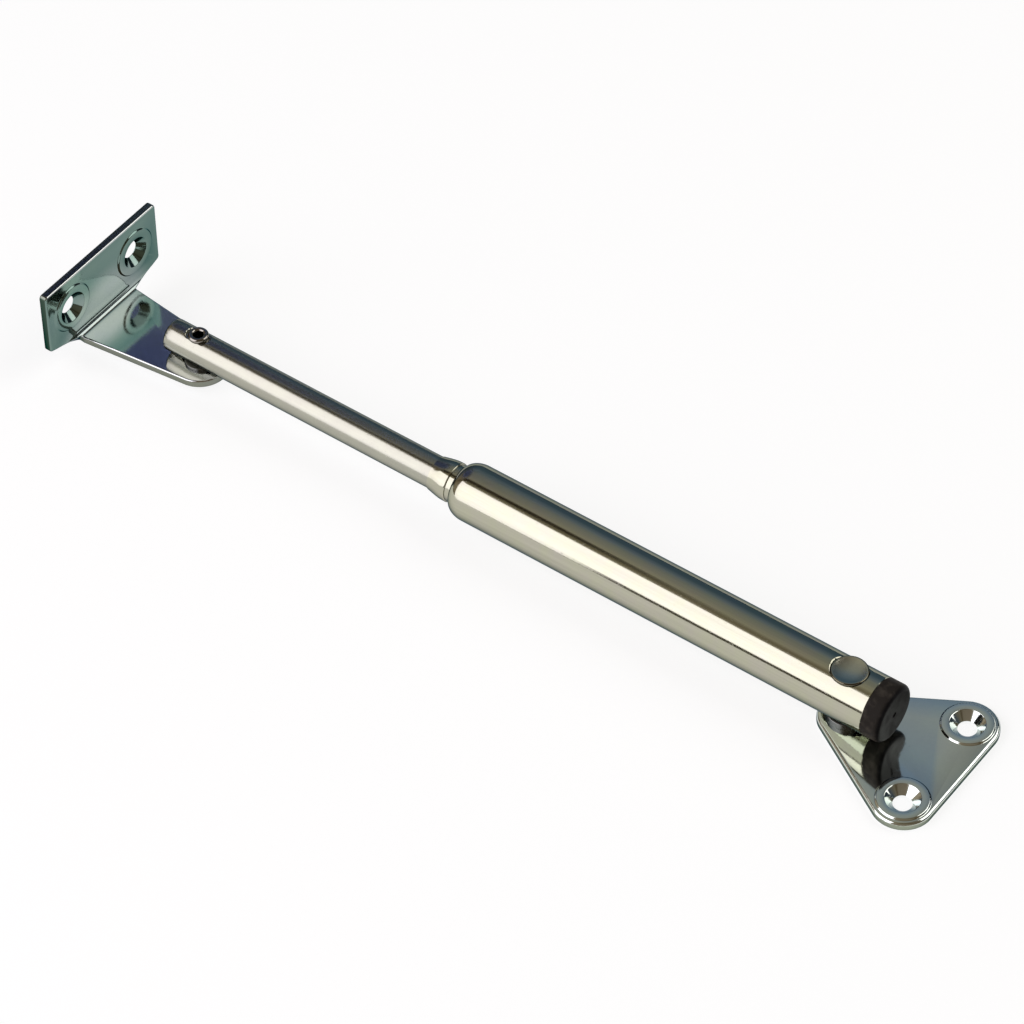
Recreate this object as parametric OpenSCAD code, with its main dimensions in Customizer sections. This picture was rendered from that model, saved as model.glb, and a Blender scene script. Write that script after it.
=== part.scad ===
// Telescopic lid stay with a spring inside, drawn fully extended.
// X runs along the stay, from the base plate to the lid bracket. Z is up.
// The origin is midway between the two base screws, on the base plate's mounting face.

/* [Outer tube] */
// Outer diameter of the tube
tube_d = 14; // [12:0.5:20]
// Wall of the tube
tube_wall = 1; // [0.7:0.1:1.5]
// Base pivot to the tip of the neck
tube_reach = 111.5; // [100:0.5:160]
// Tube behind the base pivot
tube_tail = 7.5; // [7:0.5:12]
// Wall of the neck bead
neck_wall = 0.6; // [0.6:0.1:1.2]
// Length of the neck bead
neck_len = 5.2; // [3:0.1:8]
// Width of the groove behind the neck bead
groove_w = 1.4; // [0.6:0.1:2]
// Depth of that groove
groove_depth = 0.3; // [0.1:0.05:0.45]
// Length of the rounded shoulder
shoulder_len = 4.2; // [4:0.2:8]
// Rounding of the neck's tip
neck_round = 0.5; // [0.2:0.1:0.6]
// Gap between the rod and the neck
neck_gap = 0.3; // [0.3:0.05:0.5]
// How far the wall is pressed in flat at the base rivet
seat_press = 0.8; // [0.4:0.1:1.2]
// Flat seats beyond the edges of what lies on them
seat_margin = 0.3; // [0.2:0.1:0.6]

/* [Rod] */
// Base pivot to lid pivot, fully extended
pivot_span = 181; // [165:1:240]
// Rod beyond the lid pivot
rod_tail = 8; // [6:0.5:12]
// Chamfer on the rod's end
rod_chamfer = 0.5; // [0.2:0.1:1]
// Diameter of the spigot that carries the piston
spigot_d = 5; // [4:0.1:5.5]
// Spigot behind the clip groove
spigot_tail = 0.8; // [0.5:0.1:2]
// Depth of the flats milled on the rod at its rivet
rod_flat = 0.5; // [0.3:0.1:1]

/* [Stroke and stops] */
// Length of the guide bush's straight part
bush_len = 9; // [6:0.5:14]
// Wall of the guide bush, which sets the rod's diameter
bush_wall = 1.87; // [1.2:0.01:2.4]
// Bore of the bush over the rod's diameter
bush_clearance = 0.16; // [0.1:0.02:0.2]
// Thickness of the steel stop washer
stop_t = 1; // [0.8:0.1:1.5]
// Thickness of the rubber buffer
buffer_t = 3; // [2:0.5:5]
// Gap left at the end stop
stop_gap = 0.3; // [0.1:0.1:0.5]
// Length of the piston
piston_len = 8.5; // [7:0.5:12]
// Tube bore over the piston's diameter
piston_clearance = 0.18; // [0.1:0.02:0.2]
// Thickness of the thrust washer
thrust_t = 0.8; // [0.5:0.1:1.2]
// Thickness of the spring follower
follower_t = 1; // [0.8:0.1:1.5]
// Section of the piston's rubber ring
ring_section = 1.8; // [1.5:0.1:2]
// Bore of the tube over the rubber ring, on the diameter
ring_clearance = 0.1; // [0.06:0.02:0.2]
// Thickness of the retaining clip
clip_t = 0.9; // [0.6:0.1:1.2]
// Gap between the retaining clip and the spring around it
clip_gap = 0.45; // [0.3:0.05:0.8]
// Depth of the clip's groove in the spigot
clip_depth = 0.5; // [0.3:0.1:0.8]

/* [Spring] */
// Wire of the spring
wire_d = 1; // [0.8:0.1:1.2]
// Gap between the spring and the tube
spring_gap = 0.35; // [0.3:0.05:0.8]
// Turns of the spring
spring_turns = 12; // [9:1:13]
// Pitch of the closed end turns over the wire's diameter
closed_gap = 0.05; // [0.05:0.05:0.2]
// Thickness of the spring seat's flange
seat_t = 2; // [1.5:0.1:3]
// Length of the seat's nose inside the spring
nose_len = 4; // [2:0.5:6]
// Gap between the nose and the spring
nose_gap = 0.3; // [0.2:0.1:0.5]

/* [End cap] */
// Length of the cap's head behind the tube
cap_len = 4.5; // [3:0.5:8]
// Rounding of the head's edge
cap_round = 1.6; // [0.5:0.1:2.5]
// Wall of the head's end
cap_wall = 2; // [1.8:0.1:2.5]
// Wall of the skirt
skirt_wall = 1.4; // [1:0.1:2]
// Gap from the skirt and the spring seat to the flat rivet seats
skirt_gap = 0.1; // [0.1:0.1:0.5]

/* [Base plate] */
// Thickness of both sheet pieces
sheet_t = 2; // [2:0.1:3]
// Base pivot to the line through the base screws
pivot_offset = 23; // [20:0.5:30]
// Distance between the base screws
base_pitch = 26; // [22:0.5:32]
// Radius of the two screw corners
corner_r = 7.2; // [6.5:0.1:9]
// Radius of the pivot corner
pivot_r = 6.6; // [5.5:0.1:8]
// Rounding of the blanked upper edge
edge_round = 0.9; // [0.4:0.1:1.2]
// Flat left between a raised screw seat and the rounded edge
seat_rim = 0.2; // [0.1:0.1:0.6]
// Height of the raised screw seats on both sheet pieces
boss_h = 0.4; // [0.2:0.1:0.5]
// Screw hole diameter on both sheet pieces
screw_d = 4.4; // [3.5:0.1:5]
// Countersink diameter on both sheet pieces
countersink_d = 8; // [7:0.1:9]

/* [Lid bracket] */
// Distance between the lid screws
lid_pitch = 23; // [20:0.5:40]
// Lid screws to the upright plate's side edges
lid_side = 8.5; // [7:0.5:15]
// Top of the upright plate above the rod's axis
lid_rise = 15; // [13:0.5:30]
// Lower corners of the plate below the rod's axis
lid_drop = 2.2; // [1:0.1:2.8]
// Fall of the plate's slanted lower edges
lid_slant = 3.3; // [2:0.1:4]
// Lid pivot to the plate's near face
lid_reach = 28.5; // [26:0.5:45]
// Height of the lid screws above the rod's axis
lid_screw_rise = 6; // [4:0.5:8]
// Diameter of the raised screw seats on the plate
lid_boss_d = 12; // [11:0.2:13]
// Radius inside the fold
fold_r = 1.5; // [1:0.1:2.5]
// Width of the tongue at the fold
tongue_w = 20; // [18:0.5:28]
// Radius of the tongue's round end
tongue_r = 7.3; // [7:0.1:10]

/* [Rivets and washers] */
// Shank of the base rivet
base_rivet_d = 5; // [4:0.1:5.5]
// Head diameter of the base rivet
base_head_d = 8.6; // [7.5:0.1:9]
// Height of that head above its flat seat
base_head_h = 1; // [0.8:0.1:2]
// Depth of the dish in that head
dish_depth = 0.5; // [0.2:0.1:0.6]
// Diameter of that dish
dish_d = 6.6; // [5:0.1:7]
// Countersunk tail of the base rivet
base_tail_d = 7.6; // [6.5:0.1:8]
// Gap between the tube and the raised screw seats
tube_gap = 0.4; // [0.3:0.1:1]
// Diameter of the base washer
base_washer_d = 9.4; // [9:0.1:11]
// Shank of the lid rivet
lid_rivet_d = 3.8; // [3:0.1:4.5]
// Bore of the lid rivet
lid_rivet_bore = 2.4; // [1.6:0.1:2.6]
// Diameter of the rolled ring on top of the rod
roll_d = 5; // [4.8:0.1:6]
// Height of the rolled ring
roll_h = 1.1; // [0.8:0.1:1.5]
// Diameter of the flanged head below the tongue
lid_head_d = 7; // [6:0.1:8]
// Thickness of the flanged head
lid_head_t = 0.9; // [0.6:0.1:1.2]
// Gap between the rod and the tongue
tongue_gap = 0.3; // [0.3:0.1:1]
// Diameter of the lid washer
lid_washer_d = 8; // [7:0.1:10]
// Clearance of a pin in its hole, on the diameter
pin_clearance = 0.16; // [0.1:0.02:0.2]
// Clearance between fixed pieces, on the diameter
fixed_clearance = 0.1; // [0.06:0.02:0.2]
// Play between flat faces that turn on each other
turn_gap = 0.1; // [0.05:0.05:0.2]

/* [Hidden] */
$fn = 96;
// A length that carries cuts past a face
over = 1;

// Radii of the tube and its seats
tube_r = tube_d / 2;
bore_r = tube_r - tube_wall;
top_seat_r = base_head_d / 2 + seat_margin;
under_seat_r = base_washer_d / 2 + seat_margin;
seat_r = max(top_seat_r, under_seat_r);
base_boss_d = 2 * (corner_r - edge_round - seat_rim);

// Diameters that fit the bore, fixed and sliding, and the rod that the bush guides
fixed_d = 2 * bore_r - fixed_clearance;
piston_d = 2 * bore_r - piston_clearance;
rod_d = fixed_d - 2 * bush_wall - bush_clearance;
rod_pass_d = rod_d + 2 * neck_gap;
neck_bore_r = rod_pass_d / 2;
neck_r = neck_bore_r + neck_wall;
groove_r = neck_r - groove_depth;
ring_root_d = 2 * bore_r - ring_clearance - 2 * ring_section;
spring_d = 2 * (bore_r - spring_gap);
spring_inner_d = spring_d - 2 * wire_d;

// Heights of the stack on the base plate
seat_z = tube_r - seat_press;
base_washer_t = boss_h + tube_gap + seat_press - turn_gap;
axis_z = sheet_t + base_washer_t + turn_gap + seat_z;

// Places along the stay
base_pivot_x = pivot_offset;
lid_pivot_x = base_pivot_x + pivot_span;
tube_back_x = base_pivot_x - tube_tail;
neck_tip_x = base_pivot_x + tube_reach;
groove_x = neck_tip_x - neck_len;
shoulder_x = groove_x - groove_w;
body_end_x = shoulder_x - shoulder_len;
bush_x = body_end_x - bush_len;
stop_x = bush_x - stop_t;
buffer_x = stop_x - buffer_t;
rod_step_x = buffer_x - stop_gap;
thrust_x = rod_step_x - turn_gap - thrust_t;
piston_x = thrust_x - piston_len;
follower_x = piston_x - follower_t;
clip_x = follower_x - turn_gap - clip_t;
spigot_x = clip_x - spigot_tail;
skirt_x = base_pivot_x - seat_r - skirt_gap;
flange_x = base_pivot_x + seat_r + skirt_gap;
seat_face_x = flange_x + seat_t;

// How far round the shoulder's quarter turn the bush's nose follows it
bush_nose_turn = 60;

// The spring's wire, with its facets
closed_pitch = wire_d + closed_gap;
spring_steps = 16;
wire_sides = 8;

// Sizes of the lid bracket, with heights from the rod's axis
lid_w = lid_pitch + 2 * lid_side;
lid_washer_t = rod_flat + tongue_gap - turn_gap;
tongue_top = -rod_d / 2 - tongue_gap;
tongue_bottom = tongue_top - sheet_t;
fold_outer_r = fold_r + sheet_t;
lid_head_top = tongue_bottom - turn_gap;

function arc(cx, cy, r, a0, a1, steps = 12) =
    [for (i = [0 : steps]) let (a = a0 + (a1 - a0) * i / steps) [cx + r * cos(a), cy + r * sin(a)]];

// The line of the rounded shoulder, from radius r_body down to r_neck, between angles a0 and a1
function shoulder(length, r_body, r_neck, a0, a1, steps = 16) =
    [for (i = [0 : steps]) let (a = a0 + (a1 - a0) * i / steps)
        [body_end_x + length * sin(a), r_neck + (r_body - r_neck) * cos(a)]];

// Turns a profile of [distance along X, radius] points about the stay's axis
module turned(points) {
    translate([0, 0, axis_z])
        rotate([0, 90, 0])
            rotate_extrude()
                polygon([for (p = points) [p[1], p[0]]]);
}

// A plain ring on the stay's axis
module axis_ring(x, length, outer_d, inner_d) {
    translate([x, 0, axis_z])
        rotate([0, 90, 0])
            difference() {
                cylinder(h = length, d = outer_d);
                translate([0, 0, -over])
                    cylinder(h = length + 2 * over, d = inner_d);
            }
}

// A plain bar on the stay's axis
module axis_bar(x, length, d) {
    translate([x, 0, axis_z])
        rotate([0, 90, 0])
            cylinder(h = length, d = d);
}

// A washer that lies flat, its underside at height z
module flat_washer(x, z, t, outer_d, inner_d) {
    translate([x, 0, z])
        difference() {
            cylinder(h = t, d = outer_d);
            translate([0, 0, -over])
                cylinder(h = t + 2 * over, d = inner_d);
        }
}

// One round corner of the blanked plate, its upper edge rounded
module corner_puck(place, r) {
    translate([place[0], place[1], 0])
        rotate_extrude()
            union() {
                square([r - edge_round, sheet_t]);
                square([r, sheet_t - edge_round]);
                translate([r - edge_round, sheet_t - edge_round])
                    intersection() {
                        circle(r = edge_round, $fn = 36);
                        square(edge_round);
                    }
            }
}

// A screw seat of diameter d, pressed up out of sheet whose face is at height t
module screw_seat_add(t, d) {
    translate([0, 0, t])
        cylinder(h = boss_h, d1 = d, d2 = d - 2 * boss_h);
}

// The seat's hole and countersink, and the hollow that the pressing leaves below it
module screw_seat_cut(t, d) {
    sink_depth = (countersink_d - screw_d) / 2;
    translate([0, 0, -over])
        cylinder(h = t + boss_h + 2 * over, d = screw_d);
    translate([0, 0, t + boss_h - sink_depth])
        cylinder(h = sink_depth + over, d1 = screw_d, d2 = countersink_d + 2 * over);
    translate([0, 0, -over])
        cylinder(h = over + boss_h, d = d - 2 * t);
}

module base_plate() {
    pivot = [base_pivot_x, 0];
    screws = [[0, base_pitch / 2], [0, -base_pitch / 2]];
    tail_depth = (base_tail_d - base_rivet_d) / 2;
    color("silver")
        difference() {
            union() {
                hull() {
                    corner_puck(pivot, pivot_r);
                    corner_puck(screws[0], corner_r);
                    corner_puck(screws[1], corner_r);
                }
                for (screw = screws)
                    translate([screw[0], screw[1], 0])
                        screw_seat_add(sheet_t, base_boss_d);
            }
            for (screw = screws)
                translate([screw[0], screw[1], 0])
                    screw_seat_cut(sheet_t, base_boss_d);
            translate([pivot[0], pivot[1], -over])
                cylinder(h = sheet_t + 2 * over, d = base_rivet_d + pin_clearance);
            translate([pivot[0], pivot[1], -over])
                cylinder(h = tail_depth + over, d1 = base_tail_d + pin_clearance + 2 * over,
                         d2 = base_rivet_d + pin_clearance);
        }
}

module base_washer() {
    color("dimgray")
        flat_washer(base_pivot_x, sheet_t, base_washer_t, base_washer_d,
                    base_rivet_d + pin_clearance);
}

// The flat seats for the base rivet, pressed into the round tube above and below
module seat_pads() {
    intersection() {
        axis_bar(tube_back_x, body_end_x - tube_back_x, tube_d);
        for (side = [0, 180])
            translate([base_pivot_x, 0, axis_z])
                rotate([side, 0, 0])
                    translate([0, 0, seat_z - tube_wall])
                        cylinder(h = tube_wall, r = side == 0 ? top_seat_r : under_seat_r);
    }
}

module outer_tube() {
    color("silver")
        difference() {
            union() {
                turned(concat(
                    [[tube_back_x, bore_r], [tube_back_x, tube_r]],
                    shoulder(shoulder_len, tube_r, groove_r, 0, 90),
                    arc(groove_x + groove_depth, groove_r, groove_depth, 180, 90, 4),
                    arc(neck_tip_x - neck_round, neck_r - neck_round, neck_round, 90, 0, 6),
                    [[neck_tip_x, neck_bore_r]],
                    shoulder(shoulder_len - tube_wall, bore_r, neck_bore_r, 90, 0)));
                seat_pads();
            }
            for (side = [0, 180])
                translate([base_pivot_x, 0, axis_z])
                    rotate([side, 0, 0])
                        translate([0, 0, seat_z])
                            cylinder(h = tube_r, r = side == 0 ? top_seat_r : under_seat_r);
            translate([base_pivot_x, 0, axis_z - tube_r - over])
                cylinder(h = tube_d + 2 * over, d = base_rivet_d + fixed_clearance);
        }
}

module base_rivet() {
    tail_depth = (base_tail_d - base_rivet_d) / 2;
    head_z = axis_z + seat_z;
    head_r = base_head_d / 2;
    rim_round = (head_r - dish_d / 2) / 2;
    color("silver")
        translate([base_pivot_x, 0, 0])
            rotate_extrude()
                polygon(concat(
                    [[0, turn_gap], [base_tail_d / 2 - turn_gap, turn_gap],
                     [base_rivet_d / 2, tail_depth],
                     [base_rivet_d / 2, head_z], [head_r, head_z]],
                    arc(head_r - rim_round, head_z + base_head_h - rim_round, rim_round, 0, 180, 10),
                    [[dish_d / 2 - dish_depth / 2, head_z + base_head_h - dish_depth],
                     [0, head_z + base_head_h - dish_depth]]));
}

module end_cap() {
    cap_x = tube_back_x - cap_len;
    skirt_r = fixed_d / 2;
    core_r = skirt_r - skirt_wall;
    color("black")
        turned(concat(
            [[cap_x, 0]],
            arc(cap_x + cap_round, tube_r - cap_round, cap_round, 180, 90, 8),
            [[tube_back_x, tube_r], [tube_back_x, skirt_r], [skirt_x, skirt_r], [skirt_x, core_r],
             [cap_x + cap_wall, core_r], [cap_x + cap_wall, 0]]));
}

// Its nose follows the inside of the shoulder, up to where it would get too thin
module guide_bush() {
    nose = [for (p = shoulder(shoulder_len - tube_wall, bore_r, neck_bore_r, 0, bush_nose_turn))
        [p[0], p[1] - fixed_clearance / 2]];
    bush_bore_r = (rod_d + bush_clearance) / 2;
    color("dimgray")
        turned(concat([[bush_x, bush_bore_r], [bush_x, fixed_d / 2]], nose,
                      [[nose[len(nose) - 1][0], bush_bore_r]]));
}

module stop_washer() {
    color("silver")
        axis_ring(stop_x, stop_t, fixed_d, rod_pass_d);
}

module stop_buffer() {
    color("black")
        axis_ring(buffer_x, buffer_t, fixed_d, rod_pass_d);
}

module piston() {
    groove_len = ring_section + fixed_clearance;
    middle_x = piston_x + piston_len / 2;
    color("white")
        difference() {
            axis_ring(piston_x, piston_len, piston_d, spigot_d + pin_clearance);
            axis_ring(middle_x - groove_len / 2, groove_len, tube_d, ring_root_d - fixed_clearance);
        }
}

module piston_ring() {
    ring_r = (ring_root_d + ring_section) / 2;
    color("black")
        translate([piston_x + piston_len / 2, 0, axis_z])
            rotate([0, 90, 0])
                rotate_extrude()
                    translate([ring_r, 0])
                        circle(d = ring_section);
}

module thrust_washer() {
    color("silver")
        axis_ring(thrust_x, thrust_t, piston_d, spigot_d + pin_clearance);
}

module spring_follower() {
    color("silver")
        axis_ring(follower_x, follower_t, piston_d, spigot_d + pin_clearance);
}

module retaining_clip() {
    groove_d = spigot_d - 2 * clip_depth;
    color("silver")
        difference() {
            axis_ring(clip_x, clip_t, spring_inner_d - 2 * clip_gap, groove_d + fixed_clearance);
            translate([clip_x - over, -groove_d / 2, axis_z])
                cube([clip_t + 2 * over, groove_d, spring_d]);
        }
}

// The wire is swept along a helix with one closed turn at each end
module spring() {
    coil_r = (spring_d - wire_d) / 2;
    wire_r = wire_d / 2;
    start_x = seat_face_x + wire_r;
    coil_len = follower_x - turn_gap - wire_r - start_x;
    open_pitch = (coil_len - 2 * closed_pitch) / (spring_turns - 2);
    path = [for (i = [0 : spring_turns * spring_steps])
        let (t = i / spring_steps,
             along = min(t, 1) * closed_pitch + max(min(t, spring_turns - 1) - 1, 0) * open_pitch
                 + max(t - spring_turns + 1, 0) * closed_pitch)
        [start_x + along, 360 * t]];
    points = [for (p = path)
        for (k = [0 : wire_sides - 1])
            let (b = 360 * k / wire_sides, r = coil_r + wire_r * cos(b))
            [p[0] + wire_r * sin(b), r * cos(p[1]), axis_z + r * sin(p[1])]];
    last = len(path) - 1;
    color("silver")
        polyhedron(points, concat(
            [[for (k = [0 : wire_sides - 1]) k]],
            [for (i = [0 : last - 1])
                for (k = [0 : wire_sides - 1])
                    let (a = i * wire_sides + k, b = i * wire_sides + (k + 1) % wire_sides)
                    [a, a + wire_sides, b + wire_sides, b]],
            [[for (k = [wire_sides - 1 : -1 : 0]) last * wire_sides + k]]));
}

module spring_seat() {
    saddle_z = seat_z - tube_wall - fixed_clearance / 2;
    nose_d = spring_inner_d - 2 * nose_gap;
    color("white")
        difference() {
            union() {
                axis_bar(flange_x, seat_t, fixed_d);
                axis_bar(flange_x, seat_t + nose_len, nose_d);
                intersection() {
                    axis_bar(base_pivot_x, seat_r + skirt_gap + over, fixed_d);
                    translate([base_pivot_x, -bore_r, axis_z - saddle_z])
                        cube([seat_r + skirt_gap, 2 * bore_r, 2 * saddle_z]);
                }
            }
            translate([base_pivot_x, 0, axis_z - tube_r])
                cylinder(h = tube_d, d = base_rivet_d + fixed_clearance);
        }
}

module rod() {
    tip_x = lid_pivot_x + rod_tail;
    rod_r = rod_d / 2;
    spigot_r = spigot_d / 2;
    clip_root_r = spigot_r - clip_depth;
    color("silver")
        difference() {
            turned([[spigot_x, 0], [spigot_x, spigot_r], [clip_x, spigot_r], [clip_x, clip_root_r],
                    [clip_x + clip_t, clip_root_r], [clip_x + clip_t, spigot_r],
                    [rod_step_x, spigot_r], [rod_step_x, rod_r], [tip_x - rod_chamfer, rod_r],
                    [tip_x, rod_r - rod_chamfer], [tip_x, 0]]);
            translate([lid_pivot_x, 0, axis_z - rod_d])
                cylinder(h = 2 * rod_d, d = lid_rivet_d + fixed_clearance);
            translate([lid_pivot_x, 0, axis_z + rod_r - rod_flat])
                cylinder(h = rod_d, d = roll_d + 2 * seat_margin);
            translate([lid_pivot_x, 0, axis_z - rod_r + rod_flat - rod_d])
                cylinder(h = rod_d, d = lid_washer_d + 2 * seat_margin);
        }
}

module lid_rivet() {
    flat_z = rod_d / 2 - rod_flat;
    roll_r = (roll_d - lid_rivet_bore) / 4;
    head_round = lid_head_t / 2;
    color("silver")
        translate([lid_pivot_x, 0, axis_z])
            rotate_extrude()
                polygon(concat(
                    [[lid_rivet_bore / 2, lid_head_top - lid_head_t]],
                    arc(lid_head_d / 2 - head_round, lid_head_top - lid_head_t + head_round,
                        head_round, -90, 0, 6),
                    [[lid_head_d / 2, lid_head_top], [lid_rivet_d / 2, lid_head_top],
                     [lid_rivet_d / 2, flat_z], [roll_d / 2, flat_z]],
                    arc(roll_d / 2 - roll_r, flat_z + roll_h - roll_r, roll_r, 0, 180, 12)));
}

module lid_washer() {
    color("dimgray")
        flat_washer(lid_pivot_x, axis_z + tongue_top, lid_washer_t, lid_washer_d,
                    lid_rivet_d + pin_clearance);
}

// The sheet seen from the side: tongue, quarter bend and upright plate
module lid_section() {
    bend = [lid_reach - fold_r, tongue_top + fold_r];
    difference() {
        translate([-tongue_r, tongue_bottom])
            square([tongue_r + lid_reach + sheet_t, lid_rise - tongue_bottom]);
        translate([-tongue_r - over, tongue_top])
            square([tongue_r + over + bend[0], lid_rise - tongue_top + over]);
        translate([-tongue_r - over, bend[1]])
            square([tongue_r + over + lid_reach, lid_rise - bend[1] + over]);
        translate(bend)
            circle(r = fold_r);
        difference() {
            translate([bend[0], tongue_bottom - over])
                square([fold_outer_r + over, fold_outer_r + over]);
            translate(bend)
                circle(r = fold_outer_r);
        }
    }
}

// The upright plate's outline, seen along the stay
module lid_outline() {
    slant_end = -lid_drop - lid_slant;
    polygon([[-lid_w / 2, lid_rise + over], [-lid_w / 2, -lid_drop], [-tongue_w / 2, slant_end],
             [-tongue_w / 2, tongue_bottom - over], [tongue_w / 2, tongue_bottom - over],
             [tongue_w / 2, slant_end], [lid_w / 2, -lid_drop], [lid_w / 2, lid_rise + over]]);
}

// The sheet seen from above: the tongue tapers from the bend to its round end at the pivot
module lid_plan() {
    bend_x = lid_reach - fold_r;
    root = [bend_x, tongue_w / 2];
    touch = atan2(root[1], root[0]) + acos(tongue_r / norm(root));
    tangent = [tongue_r * cos(touch), tongue_r * sin(touch)];
    polygon([tangent, [tangent[0], -tangent[1]], [root[0], -root[1]], [lid_reach, -root[1]],
             [lid_reach, root[1]], root]);
    circle(r = tongue_r);
    translate([bend_x, -lid_w / 2])
        square([fold_outer_r + over, lid_w]);
}

module lid_bracket() {
    color("silver")
        translate([lid_pivot_x, 0, axis_z])
            difference() {
                union() {
                    intersection() {
                        translate([0, lid_w / 2, 0])
                            rotate([90, 0, 0])
                                linear_extrude(lid_w)
                                    lid_section();
                        translate([-tongue_r - over, 0, 0])
                            rotate([90, 0, 90])
                                linear_extrude(tongue_r + lid_reach + sheet_t + 2 * over)
                                    lid_outline();
                        translate([0, 0, tongue_bottom - over])
                            linear_extrude(lid_rise - tongue_bottom + 2 * over)
                                lid_plan();
                    }
                    for (side = [-1, 1])
                        translate([lid_reach + sheet_t, side * lid_pitch / 2, lid_screw_rise])
                            rotate([0, -90, 0])
                                screw_seat_add(sheet_t, lid_boss_d);
                }
                for (side = [-1, 1])
                    translate([lid_reach + sheet_t, side * lid_pitch / 2, lid_screw_rise])
                        rotate([0, -90, 0])
                            screw_seat_cut(sheet_t, lid_boss_d);
                translate([0, 0, tongue_bottom - over])
                    cylinder(h = sheet_t + 2 * over, d = lid_rivet_d + pin_clearance);
            }
}

base_plate();
base_washer();
base_rivet();
outer_tube();
end_cap();
guide_bush();
stop_washer();
stop_buffer();
spring();
spring_seat();
piston();
piston_ring();
thrust_washer();
spring_follower();
retaining_clip();
rod();
lid_rivet();
lid_washer();
lid_bracket();
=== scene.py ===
# Looks of a telescopic lid stay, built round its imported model. Everything is in metres.
import math

import bpy
from mathutils import Matrix, Vector


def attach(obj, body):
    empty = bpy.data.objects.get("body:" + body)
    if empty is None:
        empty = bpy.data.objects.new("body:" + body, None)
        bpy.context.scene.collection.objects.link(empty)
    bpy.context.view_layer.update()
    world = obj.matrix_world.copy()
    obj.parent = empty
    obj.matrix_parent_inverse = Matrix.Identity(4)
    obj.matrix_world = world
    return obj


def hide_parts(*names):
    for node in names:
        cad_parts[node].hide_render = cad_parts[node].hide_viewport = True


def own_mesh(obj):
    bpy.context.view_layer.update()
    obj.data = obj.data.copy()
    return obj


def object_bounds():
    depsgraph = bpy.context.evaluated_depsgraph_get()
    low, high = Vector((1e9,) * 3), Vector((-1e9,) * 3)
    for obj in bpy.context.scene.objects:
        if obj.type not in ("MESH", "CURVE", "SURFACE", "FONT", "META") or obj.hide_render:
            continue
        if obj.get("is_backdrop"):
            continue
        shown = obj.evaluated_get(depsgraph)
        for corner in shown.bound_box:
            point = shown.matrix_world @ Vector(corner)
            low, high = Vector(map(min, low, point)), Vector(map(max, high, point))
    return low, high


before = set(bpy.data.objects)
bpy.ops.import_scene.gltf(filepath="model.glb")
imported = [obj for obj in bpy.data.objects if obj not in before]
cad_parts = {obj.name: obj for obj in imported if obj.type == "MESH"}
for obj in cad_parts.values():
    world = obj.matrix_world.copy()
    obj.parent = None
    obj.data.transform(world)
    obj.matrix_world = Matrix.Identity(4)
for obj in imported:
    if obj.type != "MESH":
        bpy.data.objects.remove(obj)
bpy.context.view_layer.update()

# Camera, floor and light
# The stay lies on a pale floor, seen from above with a long lens. A large softbox stands to the
# camera's left and a smaller one to the right and a little behind, under a dim sky. Three matt
# cards outside the picture give the bright metal its dark stripes.
mm = 0.001
middle = Vector((0.114, 0.0, 0.012))
floor_size = 5
floor_gap = 0.2 * mm
floor_glow = 1.2
floor_glow_share = 0.65
sky_strength = 2.0

bpy.ops.object.select_all(action="DESELECT")
bpy.ops.object.camera_add(location=(-0.308163, 0.567303, 0.762378))
camera = bpy.context.object
camera.name = "camera"
camera_right = Vector((-0.806871, -0.590688, -0.006867))
camera_up = Vector((0.426700, -0.590826, 0.684727))
camera_back = Vector((-0.408517, 0.549556, 0.728767))
camera.rotation_euler = Matrix((camera_right, camera_up, camera_back)).transposed().to_euler()
camera.data.sensor_width = 36
camera.data.lens = 161.11
camera.data.clip_start = 0.05
camera.data.clip_end = 20
bpy.context.scene.camera = camera
bpy.context.scene.view_settings.view_transform = "Standard"


def add_node(tree, kind, place, inlets=(), **settings):
    # Each inlet is named or numbered, and gets a plain value or another node's output
    node = tree.nodes.new(kind)
    node.location = place
    for key, value in settings.items():
        setattr(node, key, value)
    for key, source in dict(inlets).items():
        if isinstance(source, bpy.types.NodeSocket):
            tree.links.new(source, node.inputs[key])
        else:
            node.inputs[key].default_value = source
    return node


def reckon(tree, operation, place, *sources):
    return add_node(tree, "ShaderNodeMath", place, enumerate(sources),
                    operation=operation).outputs[0]


def fade(tree, place, source, start, full, low=0.0, high=1.0, curve="LINEAR"):
    # Goes from low where the source is at start to high where it is at full
    return add_node(tree, "ShaderNodeMapRange", place, {
        "Value": source, "From Min": start, "From Max": full, "To Min": low, "To Max": high},
        interpolation_type=curve).outputs["Result"]


def facing(away):
    side = (Vector((1, 0, 0)) - away * away.x).normalized()
    return Matrix((side, away.cross(side), away)).transposed().to_euler()


def softbox(name, direction, distance, width, height, radiance, colour):
    away = Vector(direction).normalized()
    bpy.ops.object.light_add(type="AREA", location=middle + away * distance)
    lamp = bpy.context.object
    lamp.name = name
    lamp.rotation_euler = facing(away)
    lamp.data.shape = "RECTANGLE"
    lamp.data.size = width
    lamp.data.size_y = height
    lamp.data.energy = radiance * math.pi * width * height
    lamp.data.color = colour


softbox("key_softbox", direction=(0.41, 0.75, 0.515), distance=1.2, width=1.3, height=1.41,
        radiance=1.85, colour=(0.97, 0.95, 1.08))
softbox("right_softbox", direction=(-0.52, -0.54, 0.66), distance=1.5, width=1.1, height=1.1,
        radiance=2.0, colour=(1.0, 0.98, 0.95))


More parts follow.
